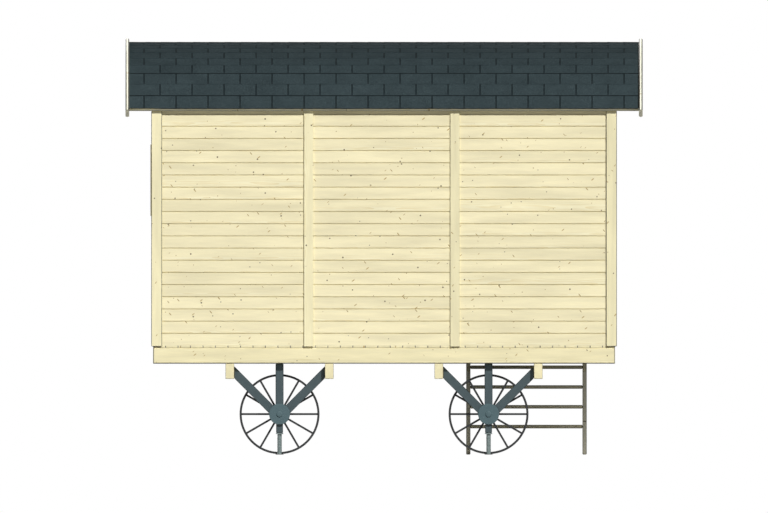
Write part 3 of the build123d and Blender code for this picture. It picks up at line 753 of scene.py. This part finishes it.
# end angle of a barge board: between those where its inner and outer edges reach their drops below the eaves
def bargeEnd(lift):
    ends = [math.acos((eaveZ - drop - haunchZ) / (haunchRadius + edge))
            for drop, edge in ((barge["innerDrop"], bargeFoot), (barge["outerDrop"], barge["rise"]))]
    return np.interp(lift, [bargeFoot, barge["rise"]], ends)


for end in ("left", "right"):
    node = f"barge_board_{end}"
    low, high = boxOf(node)
    section = cutCorners((low[0], bargeFoot), (high[0], barge["rise"]), barge["chamfer"])
    addWood(f"bargeBoards.{end}", [archSweep(section, bargeEnd, barge["steps"])], edgeSpruce, node)
print("roof laid")

# Running gear: braced tube legs, screw feet, spoked wheels
gear = {"post": 80 * mm, "sleeve": 69 * mm, "postTail": 55 * mm, "sleeveBottom": 217 * mm,
        "chamfer": 6 * mm, "braceWidth": 86 * mm, "braceThickness": 60 * mm, "braceTopDrop": 85 * mm,
        "braceMeetingDrop": 36 * mm, "axle": 40 * mm, "axleTail": 0.5 * mm, "hubGap": 6 * mm}
legPlate = {"across": 210 * mm, "thickness": 20 * mm, "chamfer": 3 * mm}
foot = {"tube": 45 * mm, "weld": 4 * mm, "weldHeight": 5 * mm, "collar": 74 * mm, "collarHeight": 12 * mm,
        "collarChamfer": 2 * mm, "plate": 80 * mm, "plateThickness": 6 * mm, "plateChamfer": 1 * mm}
wheel = {"rim": 22 * mm, "rimWidth": 34 * mm, "chamfer": 3 * mm, "spoke": 20 * mm, "spokes": 12,
         "spokeChamfer": 2 * mm, "spokeRoot": 9 * mm, "barrel": 78 * mm, "barrelLength": 44 * mm,
         "bore": 40.16 * mm}
# the dome's points are shares of the cap's radius and thickness
cap = {"across": 60 * mm, "thickness": 9 * mm, "washerChamfer": 1 * mm,
       "dome": ((0.98, 0), (1, 0.15), (1, 0.55), (0.93, 0.8), (0.75, 0.93), (0.4, 1))}
roundSides = {"tube": 32, "plate": 64, "rim": 96, "barrel": 48}     # how many sides round things have
beamUnder = boxOf("frame_side_beams")[0][2]
hubPlaces = {joint["child"]: joint["pos_m"] for joint in frame["joints"]}
feetShapes, plateShapes, capShapes = [], [], []


# an upright square bar about (x, y)
def squareBar(x, y, width, zLow, zHigh, chamfer):
    half = width / 2
    return plank((x - half, y - half, zLow), (x + half, y + half, zHigh), 2, chamfer)


# a sloping bar: a lying box sheared upright by its slope, so that both ends stay upright cuts
def brace(xFrom, zFrom, xTo, zTo, y):
    slope = (zTo - zFrom) / (xTo - xFrom)
    tall, thick = gear["braceWidth"] / 2 * math.hypot(1, slope), gear["braceThickness"] / 2
    low, high = sorted((xFrom, xTo))
    shape = plank((low, y - thick, -tall), (high, y + thick, tall), 0, gear["chamfer"], dust=(1, 1, 1))
    shape["points"][:, 2] += zFrom + slope * (shape["points"][:, 0] - xFrom)
    return shape


for corner in ("back_left", "back_right", "front_left", "front_right"):
    side = -1 if corner.startswith("back") else 1
    legNode, wheelNode = "leg_" + corner, "wheel_" + corner
    hub = hubX, hubY, hubZ = np.array(hubPlaces[wheelNode])
    axis = (hubX, 0, hubZ)
    barrelHalf, sleeveBottom, cut = wheel["barrelLength"] / 2, gear["sleeveBottom"], gear["chamfer"]
    legY = hubY + side * (barrelHalf + gear["hubGap"] + gear["post"] / 2)   # the wheel turns behind the leg
    postBottom = hubZ - gear["postTail"]
    shapes = [squareBar(hubX, legY, gear["post"], postBottom, beamUnder, cut),
              squareBar(hubX, legY, gear["sleeve"], sleeveBottom, postBottom + cut, cut)]
    meeting, braceTop = hubZ - gear["braceMeetingDrop"], beamUnder - gear["braceTopDrop"]
    shapes += [brace(hubX, meeting, end[0], braceTop, legY) for end in boxOf(legNode)]
    axleEnd = hubY - side * (barrelHalf + gear["axleTail"])
    axleLine = [(gear["axle"] / 2, y) for y in sorted((legY, axleEnd))]
    shapes.append(turned(axleLine, axis, 1, roundSides["tube"]))
    # the legs take painted shade along their arrises
    addShapes("leg." + corner, shapes, legPaint, legNode, ("arris",))

    # a round plate over the joint of post and braces
    plateFace = legY + side * (gear["post"] / 2 + legPlate["thickness"])
    radius, thick, cut = legPlate["across"] / 2, legPlate["thickness"], legPlate["chamfer"]
    profile = [(r, plateFace - side * depth) for r, depth in
               ((radius - cut, thick), (radius, thick - cut), (radius, cut), (radius - cut, 0))]
    shapes = [turned(profile[::side], axis, 1, roundSides["plate"])]
    addShapes("legPlate." + corner, shapes, hubPaint, legNode)

    # foot: plate, collar and tube; then the axle's cap outside and its washer inside
    plateTop, collarBottom = foot["plateThickness"], sleeveBottom - foot["collarHeight"]
    plateShapes.append(squareBar(hubX, legY, foot["plate"], 0, plateTop, foot["plateChamfer"]))
    feetShapes.append(squareBar(hubX, legY, foot["collar"], collarBottom, sleeveBottom,
                                foot["collarChamfer"]))
    tube = foot["tube"] / 2
    profile = [(tube + foot["weld"], plateTop), (tube, plateTop + foot["weldHeight"]),
               (tube, sleeveBottom - foot["collarHeight"] / 2)]
    feetShapes.append(turned(profile, (hubX, legY, 0), 2, roundSides["tube"]))
    half = cap["across"] / 2
    profile = [(half * f, plateFace + side * (cap["thickness"] * g)) for f, g in cap["dome"]]
    capShapes.append(turned(profile[::side], axis, 1, roundSides["tube"]))
    ends = sorted((axleEnd, axleEnd - side * cap["thickness"]))
    capShapes.append(plank((hubX - half, ends[0], hubZ - half), (hubX + half, ends[1], hubZ + half), 0,
                           cap["washerChamfer"]))

    # wheel: rim ring, square bars as spokes, hub barrel
    low, high = boxOf(wheelNode)
    outer, deep, cut = (high[0] - low[0]) / 2, wheel["rimWidth"] / 2, wheel["chamfer"]
    rimLine = cutCorners((outer - wheel["rim"], -deep), (outer, deep), cut)
    shapes = [turnedRing(rimLine, hub, roundSides["rim"])]
    barrel, bore, thin = wheel["barrel"] / 2, wheel["bore"] / 2, wheel["spoke"] / 2
    for number in range(wheel["spokes"]):
        turn = math.radians(360 / wheel["spokes"] * number)
        spoke = plank((barrel - wheel["spokeRoot"], -thin, -thin), (outer - wheel["rim"] / 2, thin, thin), 0,
                      wheel["spokeChamfer"])
        x, y, z = spoke["points"].T
        turnedX = x * math.cos(turn) - z * math.sin(turn)
        turnedZ = x * math.sin(turn) + z * math.cos(turn)
        spoke["points"] = np.stack([turnedX, y, turnedZ], 1) + hub
        shapes.append(spoke)
    hubLine = [(bore, -barrelHalf), (barrel - cut, -barrelHalf), (barrel, -barrelHalf + cut),
               (barrel, barrelHalf - cut), (barrel - cut, barrelHalf), (bore, barrelHalf)]
    shapes.append(turnedRing(hubLine, hub, roundSides["barrel"]))
    addShapes("wheel." + corner, shapes, wheelPaint, wheelNode, body=wheelNode)
addShapes("legFeet", feetShapes, zincTube, "leg_feet")
addShapes("footPlates", plateShapes, wheelPaint, "leg_feet")
addShapes("axleCaps", capShapes, hubPaint, "axle_caps")
print("running gear built")

# Steps: two sloping stringers and four treads of two boards, darker towards the top as painted shade
steps = {"stringer": 43 * mm, "chamfer": 7 * mm, "treadChamfer": 6 * mm, "boardGap": 6 * mm, "treads": 4,
         "treadWeathering": 0.85, "stringerWeathering": 6.5, "dust": 0.8}


# an outline drawn in on all sides by an amount: each corner moves to where its edges' shifted lines meet
def insetLine(outline, amount):
    ahead = np.roll(outline, -1, 0) - outline
    ahead /= np.linalg.norm(ahead, axis=1)[:, None]
    normal = np.stack([-ahead[:, 1], ahead[:, 0]], 1)
    behind = np.roll(normal, 1, 0)
    return outline + amount * (normal + behind) / (1 + (normal * behind).sum(1))[:, None]


# a board of any outline in (y, z), with chamfers on its two faces, lying between two x
def sawnBoard(outline, xLow, xHigh, chamfer, along):
    count = len(outline)
    small = insetLine(outline, chamfer)
    rings = [(small, xLow), (outline, xLow + chamfer), (outline, xHigh - chamfer), (small, xHigh)]
    points = np.concatenate([np.concatenate([np.full((count, 1), x), line], 1) for line, x in rings])
    place, tone = plankLook()
    direction = np.array(along) / np.hypot(*along)
    flat = points[:, 1:] - points[:, 1:].mean(0)
    across = flat @ np.array([-direction[1], direction[0]])
    grain = np.stack([flat @ direction, across, points[:, 0] - xLow], 1) + place
    # painted shade: the stringers darken towards their top
    tone = tone - steps["stringerWeathering"] * (points[:, 2] - outline[:, 1].min()) / np.ptp(outline[:, 1])
    # painted shade on the chamfers of both faces
    dust = np.repeat([steps["dust"], 0, steps["dust"]], count)
    return makeShape(points, tubeFaces(len(rings), count), grain, tone, [dust, np.zeros(2)])


# the stringers' outline is that of their node: its corners in (y, z), in turn about their middle
low, high = boxOf("step_stringers")
mesh = frame["nodes"]["step_stringers"].data
places = np.zeros(len(mesh.vertices) * 3, np.float32)
mesh.vertices.foreach_get("co", places)
places = np.unique(np.round(places.reshape(-1, 3)[:, 1:].astype(float), 5), axis=0)
centre = places.mean(0)
places = places[np.argsort(np.arctan2(places[:, 1] - centre[1], places[:, 0] - centre[0]))]
slope = (high[1] - low[1], low[2] - high[2])
shapes = [sawnBoard(places, a[0], b[0], steps["chamfer"], slope)
          for a, b in endPair(low, high, 0, steps["stringer"])]
addWood("stepStringers", shapes, stepSpruce, "step_stringers")
for number in range(1, steps["treads"] + 1):
    node = f"step_tread_{number}"
    low, high = boxOf(node)
    middle, gap = (low[1] + high[1]) / 2, steps["boardGap"] / 2
    # painted shade: each tread higher up is darker
    darker = steps["treadWeathering"] * (number - 1) ** 2
    looks = [(place, tone - darker) for place, tone in (plankLook(), plankLook())]
    halves = ((low, (high[0], middle - gap, high[2])), ((low[0], middle + gap, low[2]), high))
    shapes = [plank(a, b, 0, steps["treadChamfer"], look, (1, 1, 1)) for (a, b), look in zip(halves, looks)]
    addWood(f"stepTread.{number}", shapes, stepSpruce, node)
print("steps built")

# Door: jambs with a stop, two half-glazed leaves with boarded panels, casing
door = {"jamb": 45 * mm, "stop": 12 * mm, "leaf": 35 * mm, "stile": 95 * mm, "panelTop": 850 * mm,
        "recess": 9 * mm, "bar": 24 * mm, "casing": 60 * mm, "chamfer": 2 * mm, "panelBoard": 80 * mm,
        "panelChamfer": 3 * mm, "panes": 3}
glazing = {"setBack": 3 * mm, "paneGap": 4 * mm}


# four planks round an opening in a wall: uprights run through, head and sill stand between them
def planksRound(low, high, border, across, chamfer, sill=True):
    shapes = [plank(a, b, 2, chamfer) for a, b in endPair(low, high, across, border)]
    innerLow, innerHigh = np.array(low, float), np.array(high, float)
    innerLow[across] += border
    innerHigh[across] -= border
    levels = endPair(innerLow, innerHigh, 2, border)
    return shapes + [plank(a, b, across, chamfer) for a, b in (levels if sill else levels[1:])]


# where glazing bars lie between two faces: on both sides of the pane in the middle
def barSpans(low, high):
    middle = (low + high) / 2
    return ((low + glazing["setBack"], middle - glazing["paneGap"]),
            (middle + glazing["paneGap"], high - glazing["setBack"]))


low, high, jamb = doorLow, doorHigh, door["jamb"]
shapes = planksRound(low, high, jamb, 0, door["chamfer"])
stopLow = (low[0] + jamb, low[1], low[2] + jamb)
stopHigh = (high[0] - jamb, high[1] - door["leaf"], high[2] - jamb)
shapes += planksRound(stopLow, stopHigh, door["stop"], 0, door["chamfer"])
addWood("doorFrame", shapes, trimSpruce, "door_frame")
for sideName in ("left", "right"):
    node = f"door_leaf_{sideName}"
    low, high = boxOf(node)
    stile, bar, chamfer, recess = door["stile"], door["bar"], door["chamfer"], door["recess"]
    paneLow, paneHigh = low[2] + door["panelTop"], high[2] - stile
    clearLow, clearHigh = low[0] + stile, high[0] - stile
    shapes = planksRound(low, high, stile, 0, chamfer)
    shapes.append(plank((clearLow, low[1], paneLow - stile), (clearHigh, high[1], paneLow), 0, chamfer))
    count = int(round((clearHigh - clearLow) / door["panelBoard"]))
    xs = np.linspace(clearLow, clearHigh, count + 1)
    shapes += [plank((a, low[1] + recess, low[2] + stile), (b, high[1] - recess, paneLow - stile), 2,
                     door["panelChamfer"]) for a, b in zip(xs[:-1], xs[1:])]
    # glazing bars: one upright, and level ones between the panes, on both faces
    x = (low[0] + high[0] - bar) / 2
    for yLow, yHigh in barSpans(low[1], high[1]):
        shapes.append(plank((x, yLow, paneLow), (x + bar, yHigh, paneHigh), 2, chamfer))
        for z in np.linspace(paneLow, paneHigh, door["panes"] + 1)[1:-1] - bar / 2:
            for a, b in ((clearLow, x), (x + bar, clearHigh)):
                shapes.append(plank((a, yLow, z), (b, yHigh, z + bar), 0, chamfer))
    addWood(f"doorLeaf.{sideName}", shapes, trimSpruce, node)
shapes = planksRound(*boxOf("door_casing"), door["casing"], 0, door["chamfer"], sill=False)
addWood("doorCasing", shapes, trimSpruce, "door_casing")

# Window: frame, cross bars, casing with a sill board
window = {"frame": 50 * mm, "casing": 75 * mm, "bar": 26 * mm, "chamfer": 2 * mm}
low, high, border, chamfer = windowLow, windowHigh, window["frame"], window["chamfer"]
shapes = planksRound(low, high, border, 1, chamfer)
middle, half = (low + high) / 2, window["bar"] / 2
for xLow, xHigh in barSpans(low[0], high[0]):
    shapes.append(plank((xLow, middle[1] - half, low[2] + border),
                        (xHigh, middle[1] + half, high[2] - border), 2, chamfer))
    for a, b in ((low[1] + border, middle[1] - half), (middle[1] + half, high[1] - border)):
        shapes.append(plank((xLow, a, middle[2] - half), (xHigh, b, middle[2] + half), 1, chamfer))
addWood("windowFrame", shapes, trimSpruce, "window_frame")
shapes = planksRound(*boxOf("window_casing"), window["casing"], 1, chamfer)
addWood("windowCasing", shapes, trimSpruce, "window_casing")
for node in ("door_glass", "window_glass"):
    glassMesh = frame["nodes"][node].data
    glassMesh.materials.clear()
    glassMesh.materials.append(clearGlass)
print("door and window built")

# Stage, light and camera; a light's numbers are strength, softness, tilt and turn in degrees
studio = {"sky": 0.05, "floorHalf": 40, "floorLift": 0.72,
          "keyLight": (3.82, 3, 47.6, 24),      # from upper right in front: shadows fall as far down as out
          "fillLight": (2.6, 60, 68, 215)}      # wide and weak, for the door side
scene = bpy.context.scene


# an amount for rays that the camera, glossy surfaces and glass send out, and none for the others
def seenRays(add, amount):
    rays = add("LightPath").outputs
    seen = add("Math", {0: rays["Is Camera Ray"], 1: rays["Is Glossy Ray"]}, operation="MAXIMUM")
    seen = add("Math", {0: seen, 1: rays["Is Transmission Ray"]}, operation="MAXIMUM")
    return add("Math", {0: seen, 1: amount}, operation="MULTIPLY")


# studio floor: pale grey, no gloss; seen by the camera it comes up to white, and the object's shadow stays
half = studio["floorHalf"]
floorMesh = bpy.data.meshes.new("studioFloor")
floorCorners = [(-half, -half, 0), (half, -half, 0), (half, half, 0), (-half, half, 0)]
floorMesh.from_pydata(floorCorners, [], [(0, 1, 2, 3)])
studioFloor = bpy.data.objects.new("studioFloor", floorMesh)
scene.collection.objects.link(studioFloor)
floorPaint, shader, add = newMaterial("studioFloorPaleGrey")
fillInputs(shader, {"Base Color": toLinear("#969696"), "Roughness": 0.9, "Specular IOR Level": 0.0,
                    "Emission Color": (1, 1, 1, 1), "Emission Strength": seenRays(add, studio["floorLift"])})
floorMesh.materials.append(floorPaint)

world = bpy.data.worlds.new("studioWorld")
scene.world = world
world.use_nodes = True
world.node_tree.nodes.clear()
add = partial(addNode, world.node_tree)
ambient = add("Background", {"Color": (0.96, 0.98, 1.0, 1.0), "Strength": studio["sky"]})
backdrop = add("Background", {"Color": (1, 1, 1, 1), "Strength": 1.0})
mixed = add("MixShader", {0: seenRays(add, 1.0), 1: ambient, 2: backdrop})
add("OutputWorld", {"Surface": mixed})

for name in ("keyLight", "fillLight"):
    strength, softness, tilt, turn = studio[name]
    lamp = bpy.data.lights.new(name, "SUN")
    lamp.energy = strength
    lamp.angle = math.radians(softness)
    holder = bpy.data.objects.new(name, lamp)
    scene.collection.objects.link(holder)
    holder.rotation_euler = (math.radians(tilt), 0, math.radians(turn))

photo = {"width": 768, "height": 513, "metresPerPixel": 10 * mm, "centreX": 384.05, "groundY": 454.6,
         "distance": 20.0, "clipEnd": 80.0}
cameraData = bpy.data.cameras.new("photoCamera")
cameraData.type = "ORTHO"                            # the picture is an elevation, without perspective
cameraData.ortho_scale = photo["width"] * photo["metresPerPixel"]
cameraData.clip_end = photo["clipEnd"]
camera = bpy.data.objects.new("photoCamera", cameraData)
scene.collection.objects.link(camera)
lookX = (photo["width"] / 2 - photo["centreX"]) * photo["metresPerPixel"]
lookZ = (photo["groundY"] - photo["height"] / 2) * photo["metresPerPixel"]
camera.location = (lookX, bodyY - halfWidth - photo["distance"], lookZ)
camera.rotation_euler = (math.radians(90), 0, 0)
scene.camera = camera
scene.view_settings.view_transform = "Standard"
print("stage, light and camera set")
